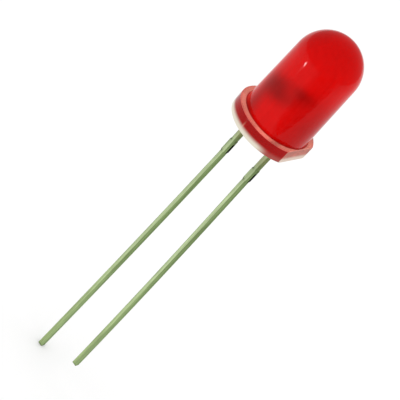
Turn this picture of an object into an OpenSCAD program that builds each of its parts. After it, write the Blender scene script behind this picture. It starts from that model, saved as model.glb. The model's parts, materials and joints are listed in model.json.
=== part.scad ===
// Through-hole LED: a round diffused lens with a flange, on two long leads.
//
// The lens points up along +Z. The origin is the middle of the flange's
// underside, which sits on the board. The leads run down along -Z, side by
// side in X. The flat on the flange and the short lead are on the +X side.
// The lens is cast around the two stamped leads, the chip and its bond wire,
// so its hollow has exactly their shape, and each lead is one stamping.

/* [Lens] */
// Diameter of the barrel where it meets the flange
barrel_d = 5.0; // [4.4:0.1:6.4]
// Height of the dome's centre above the flange
barrel_h = 5.1; // [4.3:0.1:8]
// Draft of the barrel's side, in degrees
barrel_draft = 1.3; // [0.2:0.1:3]
// How far the flange's rim stands out past the barrel
flange_lip = 0.47; // [0.2:0.01:0.9]
// Thickness of the flange
flange_h = 1.1; // [0.8:0.05:1.6]
// Radius of the edge round the flange's underside
flange_under_r = 0.1; // [0.02:0.01:0.4]
// Radius of the edge round the flange's upper face
flange_over_r = 0.06; // [0.02:0.01:0.2]
// How much flange is left between the barrel and the flat
flat_land = 0.08; // [0:0.01:0.18]

/* [Leads] */
// Distance between the two leads at the board
lead_pitch = 2.54; // [2.1:0.01:3.1]
// Width of a lead, across the LED
lead_w = 0.4; // [0.3:0.01:0.55]
// Thickness of the stamped sheet
sheet_t = 0.4; // [0.25:0.01:0.55]
// Length of the short lead below the flange
short_lead_l = 24.95; // [8:0.05:30]
// How much longer the other lead is
long_lead_extra = 1.7; // [0.5:0.05:4]
// Depth below the flange at which the leads start to spread
spread_start = 4.1; // [3.8:0.1:6]
// How far the long lead's tip has spread outwards
long_lead_spread = 0.41; // [0:0.01:1]
// How far the long lead bellies outwards halfway down
long_lead_bow = -0.05; // [-0.3:0.01:0.3]
// How far the short lead's tip has spread outwards
short_lead_spread = 0.11; // [0:0.01:1]
// How far the short lead bellies outwards halfway down
short_lead_bow = 0.07; // [-0.3:0.01:0.3]

/* [Cut tie bar] */
// Depth below the flange of the upper edge of the cut tie bar
tie_depth = 2.4; // [1.5:0.05:2.5]
// Height of the cut tie bar
tie_h = 1.25; // [0.6:0.05:1.3]
// How far the cut ends of the tie bar stand out of each side of a lead
tie_stub = 0.04; // [0.01:0.01:0.15]
// Height over which a cut end slopes in to the lead's side, above and below
tie_slope_h = 0.12; // [0.02:0.02:0.28]

/* [Reflector cup] */
// Height of the cup's rim above the flange's underside
cup_rim_z = 4.7; // [4.3:0.05:5.1]
// Outer diameter of the cup
cup_d = 1.0; // [0.8:0.02:1.2]
// Diameter of the cup's mouth
cup_mouth_d = 0.84; // [0.6:0.02:0.95]
// Diameter of the cup's floor
cup_floor_d = 0.5; // [0.5:0.01:0.6]
// Depth of the cup
cup_depth = 0.32; // [0.2:0.01:0.4]
// Height of the cup's straight outer wall
cup_wall_h = 0.42; // [0.4:0.01:0.6]
// Height over which the cup's outside narrows down to the sheet
cup_taper_h = 0.45; // [0.2:0.01:0.8]

/* [Inside ends of the leads] */
// Height at which the leads start to widen
neck_z = 1.4; // [1.2:0.05:2]
// Height over which the leads widen
shoulder_h = 0.45; // [0.2:0.05:0.8]
// How far the cup's plate stands out beyond its lead's centre
plate_out = 0.58; // [0.3:0.01:0.65]
// How far the cup's plate stands in from its lead's centre
plate_in = 0.52; // [0.3:0.01:0.7]
// Height of the flat outer corner of the cup's plate, below the rim
plate_drop = 0.45; // [0:0.05:1]
// Height of the plate where its inner edge turns towards the cup, below the rim
arm_drop = 1.75; // [1.2:0.05:2]
// Height of the post's top, below the cup's rim
post_drop = 0.1; // [0:0.05:0.5]
// Height of the wide head of the post
post_head_h = 0.9; // [0.5:0.05:1.5]
// How far the post's head stands out beyond its lead's centre
post_out = 0.3; // [0.2:0.01:0.5]
// Gap between the cup and the post's head
post_gap = 0.3; // [0.15:0.01:0.35]

/* [Chip and bond wire] */
// Width of the square chip
chip_w = 0.28; // [0.2:0.01:0.29]
// Height of the chip
chip_h = 0.24; // [0.15:0.01:0.25]
// Thickness of the glue under the chip
glue_t = 0.03; // [0.02:0.005:0.05]
// How much of the cup's floor is left bare round the glue
glue_edge = 0.03; // [0.01:0.01:0.05]
// Diameter of the bond wire
wire_d = 0.03; // [0.02:0.005:0.05]
// Diameter of the ball that bonds the wire to the chip
ball_d = 0.09; // [0.06:0.005:0.12]
// Height of that ball
ball_h = 0.04; // [0.02:0.005:0.06]
// Radius of the wire's bend above the ball
bend_r = 0.24; // [0.08:0.01:0.3]
// Length of the flattened stitch that bonds the wire to the post
stitch_l = 0.12; // [0.08:0.01:0.2]
// Thickness of that stitch
stitch_t = 0.02; // [0.01:0.005:0.04]

/* [Hidden] */
$fn = 96;

lens_red = [0.83, 0.08, 0.05];
tin_grey = [0.66, 0.70, 0.56];
chip_grey = [0.35, 0.33, 0.36];
silver_glue = [0.72, 0.72, 0.70];
gold = [0.90, 0.72, 0.32];

// The lens
barrel_r = barrel_d / 2;
flange_r = barrel_r + flange_lip;
flat_x = barrel_r + flat_land;
dome_z = flange_h + barrel_h;
// The dome is tangent to the drafted side: both pass through the tangent ring.
dome_r = (barrel_r - barrel_h * tan(barrel_draft)) * cos(barrel_draft);
ring_r = dome_r * cos(barrel_draft);
ring_z = dome_z + dome_r * sin(barrel_draft);

// The leads, whose gentle curve is made of short straight steps
long_lead_l = short_lead_l + long_lead_extra;
lead_steps = 16;

// The long lead ends in the cup, and the short lead in the post
cup_r = cup_d / 2;
cup_floor_z = cup_rim_z - cup_depth;
cup_wall_z = cup_rim_z - cup_wall_h;
cup_foot_z = cup_wall_z - cup_taper_h;
shoulder_z = neck_z + shoulder_h;
plate_out_x = -lead_pitch / 2 - plate_out;
plate_in_x = -lead_pitch / 2 + plate_in;
arm_z = cup_rim_z - arm_drop;
post_z = cup_rim_z - post_drop;
post_head_z = post_z - post_head_h;
post_in_x = cup_r + post_gap;
post_out_x = lead_pitch / 2 + post_out;

// The chip stands on its glue in the middle of the cup's floor
glue_d = cup_floor_d - 2 * glue_edge;
chip_z = cup_floor_z + glue_t;
chip_top_z = chip_z + chip_h;

// The wire's bend starts a little inside its ball, and its run ends in the stitch
wire_r = wire_d / 2;
wire_bite = 0.01;
bend_z = chip_top_z + ball_h - wire_bite;
stitch_x = (post_in_x + lead_pitch / 2) / 2;
stitch_z = post_z + stitch_t / 2;
bend_to_stitch = norm([stitch_x - bend_r, stitch_z - bend_z]);
stitch_angle = atan2(stitch_z - bend_z, stitch_x - bend_r);
wire_leave_angle = stitch_angle + acos(bend_r / bend_to_stitch);
wire_run_l = sqrt(pow(bend_to_stitch, 2) - pow(bend_r, 2));

// How far a lead has moved outwards at a share of its spreading length
function drift(share, spread, bow) = spread * share + 4 * bow * share * (1 - share);

// A flat piece of the sheet, from outlines in X and Z
module stamped() {
    rotate([90, 0, 0])
        for (i = [0:$children - 1])
            linear_extrude(height = sheet_t, center = true)
                children(i);
}

// Outline of a lead from the plate or post above down to its square-cut tip
module lead_outline(side, length, spread, bow) {
    shares = [for (i = [0:lead_steps]) i / lead_steps];
    centres = concat(
        [[side * lead_pitch / 2, neck_z]],
        [for (s = shares) [
            side * (lead_pitch / 2 + drift(s, spread, bow)),
            -spread_start - s * (length - spread_start)
        ]]
    );
    last = len(centres) - 1;
    polygon(concat(
        [for (c = centres) c + [lead_w / 2, 0]],
        [for (i = [last:-1:0]) centres[i] - [lead_w / 2, 0]]
    ));
}

// Outline of the cut tie bar across a lead
module tie_outline(side) {
    half_w = lead_w / 2;
    translate([side * lead_pitch / 2, -tie_depth])
        polygon([
            [half_w, 0],
            [half_w + tie_stub, -tie_slope_h],
            [half_w + tie_stub, tie_slope_h - tie_h],
            [half_w, -tie_h],
            [-half_w, -tie_h],
            [-half_w - tie_stub, tie_slope_h - tie_h],
            [-half_w - tie_stub, -tie_slope_h],
            [-half_w, 0]
        ]);
}

// Outline of the plate that carries the cup
module plate_outline() {
    lead_x = -lead_pitch / 2;
    polygon([
        [lead_x - lead_w / 2, neck_z],
        [lead_x + lead_w / 2, neck_z],
        [plate_in_x, shoulder_z],
        [plate_in_x, arm_z],
        [-sheet_t / 2, cup_foot_z],
        [cup_r, cup_wall_z],
        [cup_r, cup_rim_z],
        [-cup_r, cup_rim_z],
        [plate_out_x, cup_rim_z - plate_drop],
        [plate_out_x, shoulder_z]
    ]);
}

// Outline of the post's wide head and the shoulder under it
module post_outline() {
    lead_x = lead_pitch / 2;
    polygon([
        [lead_x - lead_w / 2, neck_z],
        [lead_x + lead_w / 2, neck_z],
        [post_out_x, shoulder_z],
        [post_out_x, post_z],
        [post_in_x, post_z],
        [post_in_x, post_head_z],
        [lead_x - lead_w / 2, post_head_z - shoulder_h]
    ]);
}

// The cup, pressed out of the plate's edge to both sides of the sheet
module cup_blank() {
    translate([0, 0, cup_wall_z])
        cylinder(h = cup_wall_h, r = cup_r);
    translate([0, 0, cup_foot_z])
        cylinder(h = cup_taper_h, r1 = sheet_t / 2, r2 = cup_r);
}

module cup_hollow() {
    slope = (cup_mouth_d - cup_floor_d) / 2 / cup_depth;
    over = 0.1;
    translate([0, 0, cup_floor_z])
        cylinder(h = cup_depth + over, r1 = cup_floor_d / 2, r2 = cup_mouth_d / 2 + slope * over);
}

// Half of the lens's section: its flange, its drafted barrel and its dome
module lens_section() {
    difference() {
        square([flange_r, flange_h]);
        translate([flange_r - flange_under_r, 0])
            edge_round(flange_under_r);
        translate([flange_r - flange_over_r, flange_h])
            mirror([0, 1])
                edge_round(flange_over_r);
    }
    polygon([
        [0, flange_h],
        [barrel_r, flange_h],
        [ring_r, ring_z],
        [0, ring_z]
    ]);
    intersection() {
        translate([0, dome_z])
            circle(r = dome_r);
        translate([0, ring_z])
            square([dome_r, dome_r]);
    }
}

// What a round edge takes off a corner, with the arc's start at the origin
module edge_round(r) {
    difference() {
        square([r, r]);
        translate([0, r])
            circle(r = r);
    }
}

// The lens before anything is cast into it
module lens_solid() {
    difference() {
        rotate_extrude()
            lens_section();
        translate([flat_x, -flange_r, -flange_h / 2])
            cube([flange_lip + flat_land, 2 * flange_r, 2 * flange_h]);
    }
}

module lens() {
    color(lens_red)
        difference() {
            lens_solid();
            long_lead();
            short_lead();
            chip();
            die_glue();
            bond_wire();
        }
}

module long_lead() {
    color(tin_grey)
        difference() {
            union() {
                stamped() {
                    lead_outline(-1, long_lead_l, long_lead_spread, long_lead_bow);
                    tie_outline(-1);
                    plate_outline();
                }
                cup_blank();
            }
            cup_hollow();
        }
}

module short_lead() {
    color(tin_grey)
        stamped() {
            lead_outline(1, short_lead_l, short_lead_spread, short_lead_bow);
            tie_outline(1);
            post_outline();
        }
}

module chip() {
    color(chip_grey)
        translate([-chip_w / 2, -chip_w / 2, chip_z])
            cube([chip_w, chip_w, chip_h]);
}

module die_glue() {
    color(silver_glue)
        translate([0, 0, cup_floor_z])
            cylinder(h = glue_t, d = glue_d);
}

module bond_wire() {
    color(gold)
        union() {
            translate([0, 0, chip_top_z])
                cylinder(h = ball_h, d = ball_d);
            difference() {
                wire_bend_and_run();
                short_lead();
            }
            translate([stitch_x - stitch_l / 2, -wire_d, post_z])
                cube([stitch_l, 2 * wire_d, stitch_t]);
        }
}

// The bend, from straight up to the slope of the run, and the run itself
module wire_bend_and_run() {
    translate([bend_r, 0, bend_z])
        rotate([90, 0, 0]) {
            rotate([0, 0, wire_leave_angle])
                rotate_extrude(angle = 180 - wire_leave_angle)
                    translate([bend_r, 0])
                        circle(r = wire_r);
            rotate([0, 0, wire_leave_angle])
                translate([bend_r, 0, 0])
                    rotate([90, 0, 0])
                        cylinder(h = wire_run_l, r = wire_r);
        }
}

lens();
long_lead();
short_lead();
chip();
die_glue();
bond_wire();
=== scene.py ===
"""Makes the looks of a 5 mm red through-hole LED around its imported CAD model.

The file is laid out as an add-on and run as a script. Everything is in metres, in the CAD model's
own frame: the lens points up, the flange's underside is at height zero and the leads run down.
"""

import json
import math

import bmesh
import bpy
from bpy.props import FloatProperty, FloatVectorProperty, IntProperty, PointerProperty
from bpy.types import Operator, Panel, PropertyGroup
from mathutils import Matrix, Vector

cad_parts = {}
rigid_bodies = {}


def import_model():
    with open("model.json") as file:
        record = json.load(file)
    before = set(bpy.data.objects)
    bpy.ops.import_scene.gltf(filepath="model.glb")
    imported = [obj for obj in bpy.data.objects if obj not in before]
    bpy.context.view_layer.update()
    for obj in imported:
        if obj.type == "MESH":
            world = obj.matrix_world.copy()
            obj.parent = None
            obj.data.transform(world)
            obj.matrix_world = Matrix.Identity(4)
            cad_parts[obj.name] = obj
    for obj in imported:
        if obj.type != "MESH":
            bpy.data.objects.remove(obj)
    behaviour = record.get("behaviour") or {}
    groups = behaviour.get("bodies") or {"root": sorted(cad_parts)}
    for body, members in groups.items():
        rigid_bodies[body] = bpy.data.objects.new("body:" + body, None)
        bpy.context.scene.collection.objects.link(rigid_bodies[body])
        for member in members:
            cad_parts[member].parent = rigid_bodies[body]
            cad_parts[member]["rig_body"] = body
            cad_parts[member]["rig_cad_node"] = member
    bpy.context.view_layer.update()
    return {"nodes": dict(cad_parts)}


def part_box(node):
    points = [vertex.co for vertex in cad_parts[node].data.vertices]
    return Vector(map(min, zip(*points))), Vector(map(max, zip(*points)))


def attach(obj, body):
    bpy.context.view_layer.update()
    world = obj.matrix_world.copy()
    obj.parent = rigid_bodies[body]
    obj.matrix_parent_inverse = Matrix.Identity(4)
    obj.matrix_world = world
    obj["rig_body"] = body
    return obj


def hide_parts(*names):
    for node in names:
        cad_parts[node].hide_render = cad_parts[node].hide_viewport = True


bl_info = {
    "name": "Through-hole LED",
    "version": (1, 0, 0),
    "blender": (4, 5, 0),
    "location": "3D Viewport > Sidebar > LED",
    "description": "Models and finishes a round diffused LED around its CAD frame",
    "category": "Object",
}

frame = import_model()

MM = 0.001
LENS_LOW, LENS_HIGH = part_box("lens")

# Each lead runs down its own side of the axis, to its own depth
LEAD_SIDES = {"long_lead": -1, "short_lead": 1}
LEAD_TIPS = {node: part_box(node)[0].z for node in LEAD_SIDES}
LEAD_PITCH = 2.54 * MM

# The stubs that the cut tie bar left on both leads, and the heights of the painted burr shadows at their
# ends
STUB_TOP = -2.4 * MM
STUB_FOOT = -3.65 * MM
BURR_SHADOW_HEIGHTS = (-2.46 * MM, -3.6 * MM)

# A lead's finishes: tin plate in its first slot, and these. The next two are darker copies of the tin plate,
# painted shade on the bands beside the edges and on the stamped sides
SHADED_BAND_SLOT = 1
SIDE_SLOT = 2
CUT_SLOT = 3


# ---------------------------------------------------------------- sizes and colours

def length(name, about, value):
    return FloatProperty(name=name, description=about, default=value, precision=6,
                         unit="LENGTH", subtype="DISTANCE")


def angle(name, about, degrees):
    return FloatProperty(name=name, description=about, default=math.radians(degrees),
                         unit="ROTATION", subtype="ANGLE")


def share(name, about, value, top=1.0):
    return FloatProperty(name=name, description=about, default=value, min=0.0, max=top,
                         subtype="FACTOR")


def count(name, about, value):
    return IntProperty(name=name, description=about, default=value, min=1, max=512)


def colour(name, about, value):
    return FloatVectorProperty(name=name, description=about, default=value, size=3,
                               min=0.0, max=1.0, subtype="COLOR")


class LedLensSettings(PropertyGroup):
    flange_radius: length("Flange radius", "Radius of the flange", -LENS_LOW.x)
    flange_height: length("Flange height", "Thickness of the flange", 1.1 * MM)
    under_radius: length("Lower edge", "Radius of the edge round the flange's underside", 0.1 * MM)
    over_radius: length("Upper edge", "Radius of the edge round the flange's upper face", 0.06 * MM)
    flat_distance: length("Flat", "Distance of the flange's flat from the axis", LENS_HIGH.x)
    barrel_radius: length("Barrel radius", "Radius of the barrel where it meets the flange", 2.5 * MM)
    barrel_height: length("Barrel height", "Height of the dome's centre above the flange", 5.1 * MM)
    draft: angle("Draft", "Draft of the barrel's side", 1.3)
    corner_radius: length("Corner", "Radius where the barrel meets the flange", 0.05 * MM)
    segments: count("Segments", "Sides round the lens", 192)
    dome_steps: count("Dome steps", "Rings in the dome", 40)
    red: colour("Red", "Colour of the epoxy", (0.655, 0.0008, 0.0004))
    # painted shade: the rim is painted a darker red than the barrel, though it is the same epoxy
    rim_shade_red: colour("Rim red", "Colour of the flange's rim, deep in the casting", (0.338, 0.0005, 0.0005))
    # painted light: the upper face's pale pink stands in for the light from above that it mirrors
    frosted_and_lit: colour("Frosted ring", "Colour of the flange's upper face", (0.83, 0.265, 0.195))
    ring_edge: colour("Ring's edge", "Colour of the upper face beside the rim", (0.62, 0.08, 0.065))
    # partly painted reflection: the flat's paler pink stands in for light it mirrors at a steep angle, on
    # its own rough surface
    flat_red_and_sheen: colour("Flat", "Colour of the flange's frosted flat", (0.44, 0.10, 0.062))
    thin_edge: colour("Thin edge", "Colour where light comes through the flange's lowest edge",
                      (0.76, 0.70, 0.58))
    # painted reflection: a pale streak on the rim's front standing in for the lamp mirrored there
    rim_glint: colour("Scratch", "Colour of the small scratch on the rim", (0.75, 0.28, 0.2))
    gloss: FloatProperty(name="Gloss", description="Refractive index that sets how much the epoxy mirrors",
                         default=1.22, min=1.0, max=2.0)


class LedLeadSettings(PropertyGroup):
    # painted shade: a darker band beside the long edges on the flat's side
    band: length("Worn band", "Width of the worn band beside the edges on the stamped side", 0.15 * MM)
    edge_radius: length("Edge", "Radius of the stamped edges", 0.04 * MM)
    edge_steps: count("Edge steps", "Facets across a stamped edge", 3)
    tin: colour("Tin", "Colour of the tin plate on the rolled faces", (0.50, 0.61, 0.34))
    low_tin: colour("Low tin", "The same towards the tips", (0.39, 0.50, 0.235))
    # painted shade: darker copies of the tin plate for the bands and the stamped sides, less dark towards
    # the tips
    shaded_band_tin: colour("Worn tin", "Colour of the tin plate on the worn bands", (0.235, 0.325, 0.135))
    low_shaded_band_tin: colour("Low worn tin", "The same towards the tips", (0.33, 0.44, 0.205))
    shaded_side_tin: colour("Side tin", "Colour of the tin plate on the stamped sides", (0.195, 0.28, 0.105))
    low_shaded_side_tin: colour("Low side tin", "The same towards the tips", (0.26, 0.35, 0.16))
    # a brownish tint in patches on the leads just below the lens
    browning: colour("Stain", "Colour of the stain beside the lens", (0.26, 0.18, 0.08))
    # partly painted shadow: the near-black of the cut face
    cut: colour("Cut", "Colour of the sheared steel", (0.003, 0.006, 0.002))


class LedStageSettings(PropertyGroup):
    azimuth: angle("Azimuth", "Where the camera stands round the LED", 20.43)
    elevation: angle("Elevation", "How high the camera stands", 31.93)
    roll: angle("Roll", "How far the camera is rolled", 42.80)
    distance: length("Distance", "From the camera to the point it looks at", 104.056 * MM)
    aim: FloatVectorProperty(name="Aim", description="The point the camera looks at", precision=6,
                             default=(-0.158 * MM, -0.016 * MM, -7.504 * MM), unit="LENGTH", subtype="XYZ")
    focal: FloatProperty(name="Focal length", description="Focal length for a 36 mm sensor, in millimetres",
                         default=137.6, min=10.0, max=500.0)
    sky: share("Light tent", "Strength of the light tent", 1.07, 5.0)
    mirrored_sky: share("Mirrored tent", "Strength of the light tent in anything glossy", 0.45, 5.0)


# ---------------------------------------------------------------- helpers for modelling

def alone(piece):
    """Makes a piece the only one selected."""
    bpy.ops.object.select_all(action="DESELECT")
    piece.select_set(True)
    bpy.context.view_layer.objects.active = piece


def pick(piece, test, kind="face"):
    """In edit mode, selects the faces or edges that pass a test."""
    bpy.ops.mesh.select_mode(type=kind.upper())
    bpy.ops.mesh.select_all(action="DESELECT")
    mesh = bmesh.from_edit_mesh(piece.data)
    passed = [element for element in (mesh.faces if kind == "face" else mesh.edges) if test(element)]
    if not passed:
        raise RuntimeError(f"{piece.name}: nothing to select")
    for element in passed:
        element.select_set(True)
    mesh.select_flush_mode()
    bmesh.update_edit_mesh(piece.data)


def bevel(width, steps, profile=0.5, slot=-1):
    """Bevels the selected edges. The new faces keep their neighbours' finish, or take a slot's."""
    bpy.ops.mesh.bevel(offset=width, offset_type="OFFSET", segments=steps, profile=profile,
                       affect="EDGES", material=slot)


def clean(angle_limit):
    """Welds the mesh, turns its faces outwards, leaves edit mode and smooths the shallow edges."""
    bpy.ops.mesh.select_all(action="SELECT")
    bpy.ops.mesh.remove_doubles(threshold=0.0005 * MM)
    bpy.ops.mesh.normals_make_consistent(inside=False)
    bpy.ops.object.mode_set(mode="OBJECT")
    bpy.ops.object.shade_smooth_by_angle(angle=math.radians(angle_limit))


def finish_piece(piece, name, node):
    piece.name = name
    piece.data.name = name
    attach(piece, "root")
    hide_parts(node)


# ---------------------------------------------------------------- helpers for materials

class Shade:
    """A node material, with short ways to add the nodes that the finishes share."""

    def __init__(self, name):
        self.material = bpy.data.materials.new(name)
        self.material.use_nodes = True
        self.tree = self.material.node_tree
        self.tree.nodes.clear()
        out = self.tree.nodes.new("ShaderNodeOutputMaterial")
        self.shader = self.tree.nodes.new("ShaderNodeBsdfPrincipled")
        self.join(self.shader.outputs["BSDF"], out.inputs["Surface"])
        self.place = self.tree.nodes.new("ShaderNodeTexCoord").outputs["Object"]

    def join(self, source, socket):
        self.tree.links.new(source, socket)

    def feed(self, socket, value):
        """Gives a socket a plain value, or what another socket gives."""
        if isinstance(value, bpy.types.NodeSocket):
            self.join(value, socket)
        elif socket.type == "RGBA":
            socket.default_value = (*value[:3], 1.0)
        else:
            socket.default_value = value

    def look(self, **values):
        """Sets the shader's own sockets, such as Base_Color and Roughness."""
        for name, value in values.items():
            self.feed(self.shader.inputs[name.replace("_", " ")], value)

    def math(self, kind, *values):
        made = self.tree.nodes.new("ShaderNodeMath")
        made.operation = kind
        for socket, value in zip(made.inputs, values):
            self.feed(socket, value)
        return made.outputs[0]

    def chain(self, kind, first, *others):
        """Adds, multiplies or compares any number of values."""
        for other in others:
            first = self.math(kind, first, other)
        return first

    def vector_math(self, kind, *values, output=0):
        made = self.tree.nodes.new("ShaderNodeVectorMath")
        made.operation = kind
        for socket, value in zip(made.inputs, values):
            self.feed(socket, value)
        return made.outputs[output]

    def axes(self):
        made = self.tree.nodes.new("ShaderNodeSeparateXYZ")
        self.join(self.place, made.inputs[0])
        return made.outputs

    def from_axis(self):
        """Distance from the lens's axis."""
        across = self.vector_math("MULTIPLY", self.place, (1, 1, 0))
        return self.vector_math("LENGTH", across, output="Value")

    def rise(self, value, start, end, low=0.0, high=1.0):
        """Goes smoothly from low at start to high at end."""
        made = self.tree.nodes.new("ShaderNodeMapRange")
        made.interpolation_type = "SMOOTHSTEP"
        fields = {"Value": value, "From Min": start, "From Max": end, "To Min": low, "To Max": high}
        for name, number in fields.items():
            self.feed(made.inputs[name], number)
        return made.outputs["Result"]

    def vary(self, noise, low, high):
        """Turns a noise, which hardly leaves 0.3 to 0.7, into one from low to high."""
        return self.rise(noise, 0.3, 0.7, low, high)

    def mix(self, share_of_b, a, b):
        made = self.tree.nodes.new("ShaderNodeMixRGB")
        for name, value in {"Fac": share_of_b, "Color1": a, "Color2": b}.items():
            self.feed(made.inputs[name], value)
        return made.outputs["Color"]

    def scaled(self, tint, factor):
        """A colour made darker or lighter by a factor."""
        made = self.tree.nodes.new("ShaderNodeVectorMath")
        made.operation = "SCALE"
        self.feed(made.inputs[0], tint)
        self.feed(made.inputs["Scale"], factor)
        return made.outputs[0]

    def noise(self, size, detail=3.0, stretch=(1, 1, 1)):
        """Noise whose grain is about size wide, stretched along the axes."""
        spread = self.tree.nodes.new("ShaderNodeMapping")
        spread.inputs["Scale"].default_value = [1 / (size * axis) for axis in stretch]
        self.join(self.place, spread.inputs["Vector"])
        made = self.tree.nodes.new("ShaderNodeTexNoise")
        made.inputs["Scale"].default_value = 1.0
        made.inputs["Detail"].default_value = detail
        self.join(spread.outputs[0], made.inputs["Vector"])
        return made.outputs["Fac"]

    def spot(self, x, z, wide, high, degrees=0):
        """A soft round spot that goes straight through along Y: 1 in its middle."""
        fit = self.tree.nodes.new("ShaderNodeMapping")
        fit.vector_type = "TEXTURE"
        fit.inputs["Location"].default_value = (x, 0, z)
        fit.inputs["Rotation"].default_value = (0, math.radians(degrees), 0)
        fit.inputs["Scale"].default_value = (wide, 1, high)
        self.join(self.place, fit.inputs["Vector"])
        square = self.vector_math("DOT_PRODUCT", fit.outputs[0], fit.outputs[0], output="Value")
        return self.fading(square)

    def fading(self, value):
        """Falls from 1 at nothing towards 0."""
        return self.math("EXPONENT", self.math("MULTIPLY", value, -1.0))

    def bump(self, height, distance, strength):
        made = self.tree.nodes.new("ShaderNodeBump")
        made.inputs["Strength"].default_value = strength
        made.inputs["Distance"].default_value = distance
        self.join(height, made.inputs["Height"])
        self.join(made.outputs[0], self.shader.inputs["Normal"])


# ---------------------------------------------------------------- the epoxy

# What stands inside the lens shows as soft shadows on it. Each has its middle across and up the
# lens, its half width and half height, all in millimetres, its depth, and its turn in degrees.
INNER_SHADOWS = {
    "cup": (-0.75, 4.15, 0.45, 0.95, 0.53, 57),
    "post_head": (1.0, 4.75, 0.65, 0.45, 0.6, -4),
    "plate": (-0.3, 3.6, 1.3, 0.55, 0.65, -20),
    "plate_foot": (-1.35, 1.9, 0.55, 2.2, 0.5, -2),
    "post": (2.5, 2.5, 0.9, 2.5, 0.47, 0),
    "dome_side": (-1.7, 7.3, 0.65, 2.5, 0.24, 21),
}

# Half the width of the border between two finishes
BORDER = 0.01 * MM
# Half height of a spot that runs all the way up the lens
TALL = 9 * MM


def shade_and_clouds(shade, s, z):
    """How dark the epoxy is: painted shade over what stands inside it, up in the dome and down at the foot,
    with the epoxy's own clouds and streaks.
    """
    parts = []
    for x, middle, wide, high, dark, turn in INNER_SHADOWS.values():
        spot = shade.spot(x * MM, middle * MM, wide * MM, high * MM, turn)
        parts.append(shade.math("MULTIPLY", spot, dark))
    # painted shade: darker towards the dome's top
    dome = shade.rise(z, 6.3 * MM, 8.7 * MM, 0.0, 0.19)
    clouds = shade.vary(shade.noise(0.5 * MM, 4.0), -0.025, 0.025)
    streaks = shade.vary(shade.noise(0.2 * MM, 3.0, (1, 1, 14)), -0.03, 0.03)
    # painted shade: a dark ring at the barrel's foot
    foot = shade.rise(z, s.flange_height + 0.02 * MM, s.flange_height + 0.12 * MM, 0.28, 0.0)
    return shade.chain("ADD", *parts, dome, clouds, streaks, foot)


def ring_tint(shade, s, radius, mottle):
    """The flange's rough upper face, its pale pink painted for the light from above that it mirrors: redder
    beside the rim, where that painted light fades, with a lighter and a darker place.
    """
    patches = shade.vary(shade.noise(0.7 * MM, 3.0), 0.9, 1.1)
    bright = shade.spot(0.85 * MM, s.flange_height, 0.5 * MM, TALL)
    dull = shade.spot(1.78 * MM, s.flange_height, 0.26 * MM, TALL)
    light = shade.math("MULTIPLY_ADD", bright, 0.25, patches)
    light = shade.math("MULTIPLY_ADD", dull, -0.3, light)
    # towards the rim the painted light fades to a redder colour
    dimmed = shade.rise(radius, 2.8 * MM, s.flange_radius, 0.0, 0.7)
    return shade.scaled(shade.mix(dimmed, s.frosted_and_lit, s.ring_edge), shade.math("MULTIPLY", mottle, light))


def epoxy(s):
    """Red diffused epoxy, glossy on the barrel and dome, with a frosting on the flange's top and flat. Its
    colour also holds painted shade, painted light let through the lowest edge, and painted reflections on
    the top, the flat and the rim.
    """
    shade = Shade("red_epoxy")
    x, y, z = shade.axes()
    radius = shade.from_axis()
    mottle = shade.vary(shade.noise(0.12 * MM, 4.0), 0.9, 1.1)
    rough_mottle = shade.vary(shade.noise(0.3 * MM, 5.0), 0.82, 1.18)

    # where each finish, painted light and painted shade is
    top = s.flange_height
    rim_top = top - 0.04 * MM
    side = shade.rise(z, rim_top + BORDER, rim_top - BORDER)
    ring = shade.chain("MULTIPLY", shade.rise(z, rim_top - BORDER, rim_top + BORDER),
                       shade.rise(radius, s.barrel_radius + 0.03 * MM, s.barrel_radius + 0.1 * MM),
                       shade.rise(z, top + 0.05 * MM, top + 0.02 * MM))
    past_flat = shade.rise(x, s.flat_distance - 0.015 * MM, s.flat_distance - 0.005 * MM)
    flat = shade.math("MULTIPLY", side, past_flat)
    # painted reflection: the pale streak on the rim's front
    glint = shade.math("MULTIPLY", side, shade.spot(-0.38 * MM, 0.45 * MM, 0.06 * MM, 0.28 * MM))
    # painted light: white light let through the flange's lowest edge, weaker towards the flat
    lit_side = shade.rise(x, 1.1 * MM, 1.95 * MM, 1.0, 0.1)
    thin = shade.chain("MULTIPLY", shade.rise(z, 0.56 * MM, 0.18 * MM),
                       shade.rise(radius, 2.3 * MM, 2.6 * MM),
                       shade.math("MAXIMUM", lit_side, shade.math("MULTIPLY", flat, 0.7)))

    # the red, darkened by the painted shade and the clouds
    tint = shade.scaled(s.red, shade.fading(shade_and_clouds(shade, s, z)))
    # painted shade: the rim takes its darker red
    tint = shade.mix(side, tint, shade.scaled(s.rim_shade_red, mottle))
    tint = shade.mix(shade.math("MULTIPLY", glint, 0.5), tint, s.rim_glint)
    # the flat, its colour partly a painted reflection
    tint = shade.mix(flat, tint, shade.scaled(s.flat_red_and_sheen, rough_mottle))
    tint = shade.mix(thin, tint, s.thin_edge)
    tint = shade.mix(ring, tint, ring_tint(shade, s, radius, mottle))
    smooth = shade.rise(side, 0, 1, 0.05, 0.14)
    shade.look(Base_Color=tint, IOR=s.gloss,
               Roughness=shade.rise(shade.math("MAXIMUM", ring, flat), 0, 1, smooth, 0.32))
    shade.bump(shade.noise(0.25 * MM, 3.0), 0.002 * MM, 0.5)
    return shade.material


# ---------------------------------------------------------------- the metals and the inside

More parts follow.
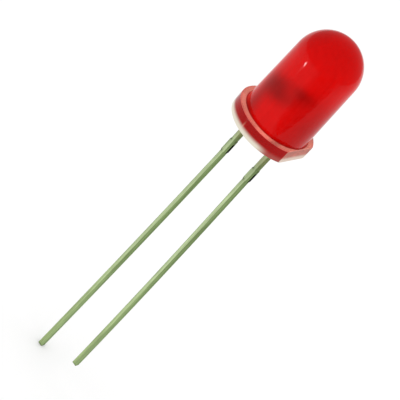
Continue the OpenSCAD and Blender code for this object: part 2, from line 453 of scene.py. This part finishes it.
def marks(shade, x, z):
    """Dark marks on the tin plate: specks, painted shadows of the burrs of the cut tie bar, and darkening at
    the sheared tips.
    """
    specks = shade.rise(shade.noise(0.07 * MM, 2.0), 0.30, 0.22, 0.0, 0.6)
    found = [specks]
    for node, side in LEAD_SIDES.items():
        # painted shadows of the burrs at the stub's corners
        burr_shadow_x = side * LEAD_PITCH / 2 - 0.21 * MM
        found += [shade.spot(burr_shadow_x, height, 0.13 * MM, 0.11 * MM) for height in BURR_SHADOW_HEIGHTS]
        tip = LEAD_TIPS[node]
        # darker towards each tip
        sheared = shade.rise(z, tip + 0.16 * MM, tip + 0.02 * MM, 0.0, 0.45)
        found.append(shade.math("MULTIPLY", sheared, shade.rise(x, 0, side * 0.5 * MM)))
    return shade.chain("MAXIMUM", *found)


def tin_plate(name, s, tint, low_tint, roughness):
    """Dull tin plate, drawn along the lead, with painted shade and a brownish tint in patches beside the
    lens.
    """
    shade = Shade(name)
    x, y, z = shade.axes()
    drawn = shade.noise(0.08 * MM, 4.0, (1, 1, 40))
    mottle = shade.noise(0.35 * MM, 5.0, (1, 1, 2))
    # painted shade: darker towards the lens
    shade_near_lens = shade.rise(z, -4.6 * MM, STUB_TOP, 1.0, 0.8)
    light = shade.chain("MULTIPLY", shade.vary(drawn, 0.8, 1.14), shade.vary(mottle, 0.9, 1.08), shade_near_lens)
    plate = shade.mix(shade.rise(z, -12 * MM, -24 * MM), tint, low_tint)
    tone = shade.mix(marks(shade, x, z), shade.scaled(plate, light), [0.2 * part for part in tint])
    # a brownish tint in patches just below the lens
    browned = shade.math("MULTIPLY", shade.rise(z, -2.5 * MM, -1.6 * MM, 0.0, 0.45),
                         shade.rise(mottle, 0.35, 0.6, 0.4, 1.0))
    shade.look(Base_Color=shade.mix(browned, tone, s.browning), Metallic=1.0,
               Specular_Tint=(0.6, 0.65, 0.55),
               Roughness=shade.vary(mottle, roughness - 0.08, roughness + 0.08))
    shade.bump(drawn, 0.004 * MM, 0.6)
    return shade.material


def sheared_steel(s):
    """The face where the tie bar was cut off: smooth at its top, torn and dark below. Its near-black is
    partly painted shadow, and its top takes the side tin's painted shade.
    """
    shade = Shade("sheared_steel")
    grain = shade.noise(0.04 * MM, 4.0, (1, 1, 3))
    x, y, z = shade.axes()
    torn = shade.rise(z, STUB_TOP - 0.28 * MM, STUB_TOP - 0.38 * MM)
    tone = shade.mix(torn, s.shaded_side_tin, shade.scaled(s.cut, shade.vary(grain, 0.6, 1.8)))
    shade.look(Base_Color=tone, Metallic=shade.rise(torn, 0, 1, 1.0, 0.0), Roughness=0.8, IOR=1.05)
    shade.bump(grain, 0.01 * MM, 0.8)
    return shade.material


def sawn_crystal():
    shade = Shade("sawn_crystal")
    lines = shade.vary(shade.noise(0.03 * MM, 3.0, (1, 1, 4)), 0.7, 1.4)
    shade.look(Base_Color=shade.scaled((0.09, 0.08, 0.10), lines), Metallic=0.3, Roughness=0.3)
    return shade.material


def silver_glue():
    shade = Shade("silver_glue")
    flakes = shade.vary(shade.noise(0.02 * MM, 4.0), 0.7, 1.2)
    shade.look(Base_Color=shade.scaled((0.5, 0.5, 0.48), flakes), Metallic=0.7, Roughness=0.55)
    return shade.material


def gold_wire():
    shade = Shade("gold_wire")
    drawn = shade.vary(shade.noise(0.01 * MM, 2.0), 0.9, 1.05)
    shade.look(Base_Color=shade.scaled((0.80, 0.52, 0.16), drawn), Metallic=1.0, Roughness=0.25)
    return shade.material


# ---------------------------------------------------------------- the pieces

class LED_OT_lens(Operator):
    """Models the epoxy lens from a cylinder: flange, drafted barrel, dome and flat"""
    bl_idname = "led.lens"
    bl_label = "Lens"
    bl_options = {"REGISTER", "UNDO"}

    def execute(self, context):
        s = context.scene.led_lens
        bpy.ops.object.select_all(action="DESELECT")
        bpy.ops.mesh.primitive_cylinder_add(vertices=s.segments, radius=s.flange_radius,
                                            depth=s.flange_height, location=(0, 0, s.flange_height / 2))
        lens = context.object
        bpy.ops.object.transform_apply(location=True)
        bpy.ops.object.mode_set(mode="EDIT")
        # the short foot keeps the barrel's shading straight down to its corner
        foot = s.flange_height + 3 * s.corner_radius
        self.raise_barrel(lens, s, foot)
        self.soften_edges(lens, s, foot)
        self.cut_flat(s)
        clean(25)
        lens.data.materials.append(epoxy(s))
        finish_piece(lens, "lens_casting", "lens")
        return {"FINISHED"}

    def raise_barrel(self, lens, s, foot):
        """Raises the barrel from the flange's upper face, ring by ring, and closes the dome."""
        pick(lens, lambda face: face.normal.z > 0.9)
        bpy.ops.mesh.inset(thickness=s.flange_radius - s.barrel_radius, depth=0)
        self.raise_ring(lens, foot, s.barrel_radius - (foot - s.flange_height) * math.tan(s.draft))
        dome_radius = (s.barrel_radius - s.barrel_height * math.tan(s.draft)) * math.cos(s.draft)
        dome_centre = s.flange_height + s.barrel_height
        for step in range(s.dome_steps):
            lift = s.draft + (math.pi / 2 - s.draft) * step / s.dome_steps
            self.raise_ring(lens, dome_centre + dome_radius * math.sin(lift), dome_radius * math.cos(lift))
        last_rise = dome_radius * (1 - math.sin(lift))
        bpy.ops.mesh.extrude_region_move(TRANSFORM_OT_translate={"value": (0, 0, last_rise)})
        bpy.ops.mesh.merge(type="CENTER")

    def raise_ring(self, lens, height, radius):
        """Extrudes the selected face up to a height and gives it a radius."""
        mesh = bmesh.from_edit_mesh(lens.data)
        ring = [vert.co for vert in mesh.verts if vert.select]
        now_height = sum(place.z for place in ring) / len(ring)
        now_radius = sum(math.hypot(place.x, place.y) for place in ring) / len(ring)
        bpy.ops.mesh.extrude_region_move(TRANSFORM_OT_translate={"value": (0, 0, height - now_height)})
        bpy.ops.transform.resize(value=(radius / now_radius, radius / now_radius, 1))

    def soften_edges(self, lens, s, foot):
        """Rounds the flange's edges and the barrel's foot."""
        for height, ring_radius, radius, steps in ((0, s.flange_radius, s.under_radius, 5),
                                                   (s.flange_height, s.flange_radius, s.over_radius, 4),
                                                   (s.flange_height, s.barrel_radius, s.corner_radius, 4)):
            pick(lens, lambda edge: self.is_on_ring(edge, height, ring_radius), "edge")
            bevel(radius, steps)
        # narrow bands beside the edges keep the rim and the upper face flat in the light
        pick(lens, lambda face: abs(face.normal.z) < 0.01 and face.calc_center_median().z < s.flange_height)
        bpy.ops.mesh.inset(thickness=0.5 * s.corner_radius, depth=0)
        pick(lens, lambda face: abs(face.normal.z) > 0.999 and face.calc_center_median().z < foot)
        bpy.ops.mesh.inset(thickness=0.5 * s.corner_radius, depth=0)

    def is_on_ring(self, edge, height, radius, slack=0.004 * MM):
        return all(abs(vert.co.z - height) < slack and abs(vert.co.xy.length - radius) < slack
                   for vert in edge.verts)

    def cut_flat(self, s):
        bpy.ops.mesh.select_all(action="SELECT")
        bpy.ops.mesh.bisect(plane_co=(s.flat_distance, 0, 0), plane_no=(1, 0, 0), use_fill=True,
                            clear_outer=True, threshold=0.0001 * MM)


class LED_OT_leads(Operator):
    """Softens the stamped edges of both leads and finishes their tin plate and cut ends"""
    bl_idname = "led.leads"
    bl_label = "Leads"
    bl_options = {"REGISTER", "UNDO"}

    def execute(self, context):
        s = context.scene.led_leads
        # the tin plate, its darker copies for painted shade, and the cut steel
        finishes = [tin_plate("tin_plate", s, s.tin, s.low_tin, 0.36),
                    tin_plate("shaded_band_tin", s, s.shaded_band_tin, s.low_shaded_band_tin, 0.4),
                    tin_plate("shaded_side_tin", s, s.shaded_side_tin, s.low_shaded_side_tin, 0.45), sheared_steel(s)]
        for node in LEAD_SIDES:
            lead = self.copy_of(context, frame["nodes"][node])
            for finish in finishes:
                lead.data.materials.append(finish)
            bpy.ops.object.mode_set(mode="EDIT")
            bpy.ops.mesh.select_all(action="SELECT")
            bpy.ops.mesh.remove_doubles(threshold=0.001 * MM)
            bpy.ops.mesh.customdata_custom_splitnormals_clear()
            bpy.ops.mesh.dissolve_limited(angle_limit=math.radians(0.02))
            # painted shade: the stamped sides take the darker side tin
            self.give_finish(lead, lambda face: abs(face.normal.x) > 0.9, SIDE_SLOT)
            # a square-cornered bevel marks the bands of painted shade, and a small one rounds the edges,
            # which take the same painted shade
            pick(lead, self.is_shaded_band_edge, "edge")
            bevel(s.band, 2, profile=1.0, slot=SHADED_BAND_SLOT)
            pick(lead, self.is_long_edge, "edge")
            bevel(s.edge_radius, s.edge_steps, slot=SHADED_BAND_SLOT)
            self.give_finish(lead, self.is_cut, CUT_SLOT)
            clean(40)
            finish_piece(lead, node + "_stamping", node)
        return {"FINISHED"}

    def copy_of(self, context, cad_lead):
        lead = cad_lead.copy()
        lead.data = cad_lead.data.copy()
        lead.parent = None
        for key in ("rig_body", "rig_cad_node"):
            del lead[key]
        context.scene.collection.objects.link(lead)
        lead.data.materials.clear()
        alone(lead)
        return lead

    def give_finish(self, lead, test, slot):
        pick(lead, test)
        lead.active_material_index = slot
        bpy.ops.object.material_slot_assign()

    def is_cut(self, face):
        """The cut ends of the tie bar, but for a bright edge at the front."""
        middle = face.calc_center_median()
        on_stub = STUB_FOOT - 0.01 * MM < middle.z < STUB_TOP + 0.01 * MM
        return abs(face.normal.x) > 0.8 and on_stub and middle.y > -0.11 * MM

    def is_long_edge(self, edge):
        """The long edges of the stamping below the flange."""
        a, b = (vert.co for vert in edge.verts)
        if max(a.z, b.z) > 1.5 * MM or len(edge.link_faces) != 2:
            return False
        facing = sorted(abs(face.normal.y) for face in edge.link_faces)
        return facing[1] > 0.9 and facing[0] < 0.5 and abs(a.z - b.z) > 0.7 * (a - b).length

    def is_shaded_band_edge(self, edge):
        """The long edges on the side of the flat."""
        return self.is_long_edge(edge) and max(face.normal.x for face in edge.link_faces) > 0.5


class LED_OT_inside(Operator):
    """Finishes the chip, its glue and its bond wire"""
    bl_idname = "led.inside"
    bl_label = "Inside"
    bl_options = {"REGISTER", "UNDO"}

    def execute(self, context):
        finishes = {"chip": sawn_crystal(), "die_glue": silver_glue(), "bond_wire": gold_wire()}
        for node, finish in finishes.items():
            slots = frame["nodes"][node].data.materials
            slots.clear()
            slots.append(finish)
        return {"FINISHED"}


# ---------------------------------------------------------------- the stage

class LED_OT_stage(Operator):
    """Sets up the floor, the studio light and the camera"""
    bl_idname = "led.stage"
    bl_label = "Stage"
    bl_options = {"REGISTER", "UNDO"}

    def execute(self, context):
        s = context.scene.led_stage
        bpy.ops.object.select_all(action="DESELECT")
        self.add_floor(context)
        self.add_grey_card(context)
        self.add_camera(context, s)
        self.add_tent(context, s)
        self.add_lamp(context)
        context.scene.view_settings.view_transform = "Standard"
        return {"FINISHED"}

    def add_floor(self, context):
        """A wide white floor just under the longest lead."""
        bpy.ops.mesh.primitive_plane_add(size=4.0, location=(0, 0, min(LEAD_TIPS.values()) - 0.02 * MM))
        floor = context.object
        floor.name = "floor"
        bpy.ops.object.transform_apply(location=True)
        white = Shade("white_card")
        white.look(Base_Color=(0.97, 0.97, 0.97), Roughness=0.9, Specular_IOR_Level=0.0)
        floor.data.materials.append(white.material)

    def add_grey_card(self, context):
        """A grey card on the right, which only shows as a darker part of what the gloss mirrors."""
        away = 43 * MM
        bpy.ops.mesh.primitive_plane_add(size=1.0, location=(away, -away, 0))
        card = context.object
        card.name = "grey_card"
        card.rotation_euler = (math.radians(90), 0, math.radians(45))
        card.scale = (165 * MM, 120 * MM, 1)
        bpy.ops.object.transform_apply(location=True, rotation=True, scale=True)
        grey = Shade("grey_card")
        x, y, z = grey.axes()
        along = grey.math("ADD", x, y)
        soft_edges = grey.chain("MULTIPLY", grey.rise(along, -85 * MM, -10 * MM),
                                grey.rise(along, 115 * MM, 30 * MM), grey.rise(z, 60 * MM, 0))
        grey.look(Base_Color=(0.3, 0.3, 0.3), Roughness=0.9, Specular_IOR_Level=0.0, Alpha=soft_edges)
        card.data.materials.append(grey.material)
        card.visible_camera = False
        card.visible_diffuse = False
        card.visible_shadow = False

    def add_camera(self, context, s):
        data = bpy.data.cameras.new("camera")
        data.sensor_width = 36.0
        data.lens = s.focal
        data.clip_start = 1 * MM
        data.clip_end = 10.0
        camera = bpy.data.objects.new("camera", data)
        context.scene.collection.objects.link(camera)
        flat = math.cos(s.elevation)
        back = Vector((math.sin(s.azimuth) * flat, -math.cos(s.azimuth) * flat, math.sin(s.elevation)))
        turn = back.to_track_quat("Z", "Y").to_matrix() @ Matrix.Rotation(s.roll, 3, "Z")
        camera.matrix_world = Matrix.Translation(Vector(s.aim) + back * s.distance) @ turn.to_4x4()
        context.scene.camera = camera

    def add_tent(self, context, s):
        """White light from all sides, weaker in what mirrors it."""
        world = bpy.data.worlds.new("light_tent")
        context.scene.world = world
        world.use_nodes = True
        nodes = world.node_tree.nodes
        light = nodes["Background"].inputs
        light["Color"].default_value = (1, 1, 1, 1)
        ray = nodes.new("ShaderNodeLightPath")
        sky = nodes.new("ShaderNodeMapRange")
        sky.inputs["To Min"].default_value = s.sky
        sky.inputs["To Max"].default_value = s.mirrored_sky
        world.node_tree.links.new(ray.outputs["Is Glossy Ray"], sky.inputs["Value"])
        world.node_tree.links.new(sky.outputs["Result"], light["Strength"])

    def add_lamp(self, context):
        """A narrow lamp on the left, which only shows as the spark on the barrel."""
        light = bpy.data.lights.new("spark", "AREA")
        light.shape = "RECTANGLE"
        light.size = 2.2 * MM
        light.size_y = 10 * MM
        light.energy = 8e-5
        light.spread = math.radians(12)
        lamp = bpy.data.objects.new("spark", light)
        context.scene.collection.objects.link(lamp)
        place = Vector((-31, -50, -11.3)) * MM
        target = Vector((-0.3, -2.4, 6.4)) * MM
        lamp.location = place
        lamp.rotation_euler = (place - target).to_track_quat("Z", "Y").to_euler()
        lamp.visible_camera = False
        lamp.visible_diffuse = False


# ---------------------------------------------------------------- the add-on

OPERATORS = (LED_OT_stage, LED_OT_leads, LED_OT_inside, LED_OT_lens)
SETTINGS = {"led_lens": LedLensSettings, "led_leads": LedLeadSettings, "led_stage": LedStageSettings}


class LED_PT_panel(Panel):
    """Lists what makes the LED"""
    bl_label = "Through-hole LED"
    bl_idname = "LED_PT_panel"
    bl_space_type = "VIEW_3D"
    bl_region_type = "UI"
    bl_category = "LED"

    def draw(self, context):
        for operator in OPERATORS:
            self.layout.operator(operator.bl_idname)
        for group, kind in SETTINGS.items():
            for name in kind.__annotations__:
                self.layout.prop(getattr(context.scene, group), name)


def register():
    for made in (*SETTINGS.values(), *OPERATORS, LED_PT_panel):
        bpy.utils.register_class(made)
    for group, kind in SETTINGS.items():
        setattr(bpy.types.Scene, group, PointerProperty(type=kind))


def unregister():
    for group in SETTINGS:
        delattr(bpy.types.Scene, group)
    for made in (LED_PT_panel, *reversed(OPERATORS), *SETTINGS.values()):
        bpy.utils.unregister_class(made)


def main():
    register()
    bpy.ops.led.stage()
    bpy.ops.led.leads()
    bpy.ops.led.inside()
    bpy.ops.led.lens()


if __name__ == "__main__":
    main()
